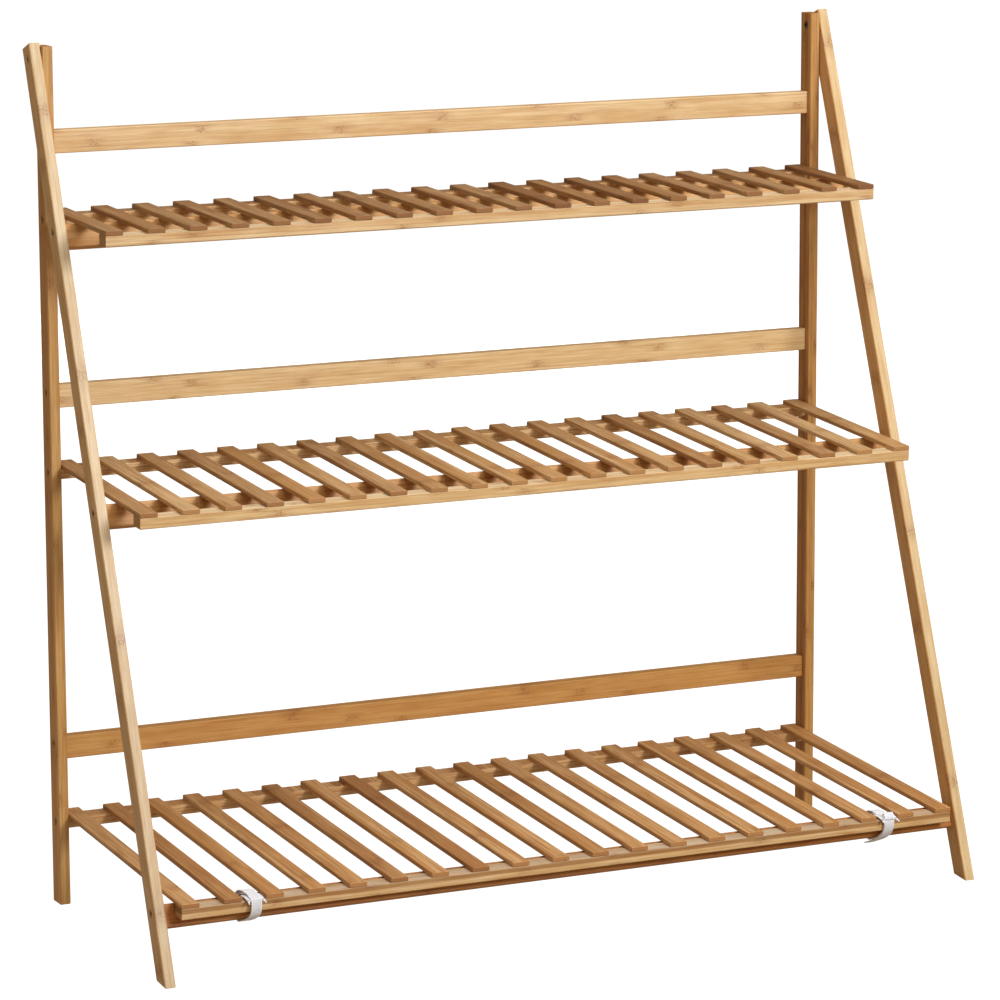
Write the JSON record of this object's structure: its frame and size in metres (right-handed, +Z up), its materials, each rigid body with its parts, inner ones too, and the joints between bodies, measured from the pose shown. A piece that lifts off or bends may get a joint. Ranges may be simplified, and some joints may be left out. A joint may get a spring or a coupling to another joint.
{
  "type": "plant ladder stand",
  "caption": "Folding bamboo plant stand with slatted shelves hinged to an upright rear frame and resting on the cross rails of a leaning front frame.",
  "frame": {"origin": "middle of the stand's footprint, on the floor, with the stand opened for use", "axes": "+X across the stand to the right as seen from its front, -Y towards the front, +Z up"},
  "size_m": [0.98, 0.3824, 0.9583],
  "materials": {
    "bamboo": "satin lacquer over laminated strips",
    "steel": "plated",
    "dowel_wood": "bare",
    "webbing": "woven hook-and-loop"
  },
  "bodies": {
    "rear_frame": {"rear_post_left": "bamboo", "leg_pivot_nut_left": "steel", "rear_post_right": "bamboo", "leg_pivot_nut_right": "steel", "back_rail_top": "bamboo", "back_rail_bolt_top_left": "steel", "back_rail_dowel_top_left": "dowel_wood", "back_rail_bolt_top_right": "steel", "back_rail_dowel_top_right": "dowel_wood", "back_rail_middle": "bamboo", "back_rail_bolt_middle_left": "steel", "back_rail_dowel_middle_left": "dowel_wood", "back_rail_bolt_middle_right": "steel", "back_rail_dowel_middle_right": "dowel_wood", "back_rail_bottom": "bamboo", "back_rail_bolt_bottom_left": "steel", "back_rail_dowel_bottom_left": "dowel_wood", "back_rail_bolt_bottom_right": "steel", "back_rail_dowel_bottom_right": "dowel_wood"},
    "front_frame": {"front_leg_left": "bamboo", "leg_pivot_bolt_left": "steel", "front_leg_right": "bamboo", "leg_pivot_bolt_right": "steel", "cross_rail_top": "bamboo", "cross_rail_bolt_top_left": "steel", "cross_rail_dowel_top_left": "dowel_wood", "cross_rail_bolt_top_right": "steel", "cross_rail_dowel_top_right": "dowel_wood", "cross_rail_middle": "bamboo", "cross_rail_bolt_middle_left": "steel", "cross_rail_dowel_middle_left": "dowel_wood", "cross_rail_bolt_middle_right": "steel", "cross_rail_dowel_middle_right": "dowel_wood", "cross_rail_bottom": "bamboo", "cross_rail_bolt_bottom_left": "steel", "cross_rail_dowel_bottom_left": "dowel_wood", "cross_rail_bolt_bottom_right": "steel", "cross_rail_dowel_bottom_right": "dowel_wood"},
    "top_shelf": {"shelf_deck_top": "bamboo", "shelf_batten_top": "bamboo", "shelf_hinge_bolt_top_left": "steel", "shelf_hinge_bolt_top_right": "steel"},
    "middle_shelf": {"shelf_deck_middle": "bamboo", "shelf_batten_middle": "bamboo", "shelf_hinge_bolt_middle_left": "steel", "shelf_hinge_bolt_middle_right": "steel"},
    "bottom_shelf": {"shelf_deck_bottom": "bamboo", "shelf_batten_bottom": "bamboo", "shelf_hinge_bolt_bottom_left": "steel", "shelf_hinge_bolt_bottom_right": "steel", "shelf_strap_left": "webbing", "shelf_strap_right": "webbing"}
  },
  "joints": [
    {"name": "front_frame_fold", "type": "hinge", "parent": "rear_frame", "child": "front_frame", "pos_m": [0, 0.17472, 0.94], "axis": [1, 0, 0], "range_deg": [0, 8]},
    {"name": "top_shelf_fold", "type": "hinge", "parent": "rear_frame", "child": "top_shelf", "pos_m": [0, 0.17472, 0.7659], "axis": [-1, 0, 0], "range_deg": [0, 79]},
    {"name": "middle_shelf_fold", "type": "hinge", "parent": "rear_frame", "child": "middle_shelf", "pos_m": [0, 0.17472, 0.4871], "axis": [-1, 0, 0], "range_deg": [0, 80]},
    {"name": "bottom_shelf_fold", "type": "hinge", "parent": "rear_frame", "child": "bottom_shelf", "pos_m": [0, 0.17472, 0.0931], "axis": [-1, 0, 0], "range_deg": [0, 80], "deforming": ["shelf_strap_left", "shelf_strap_right"]}
  ]
}
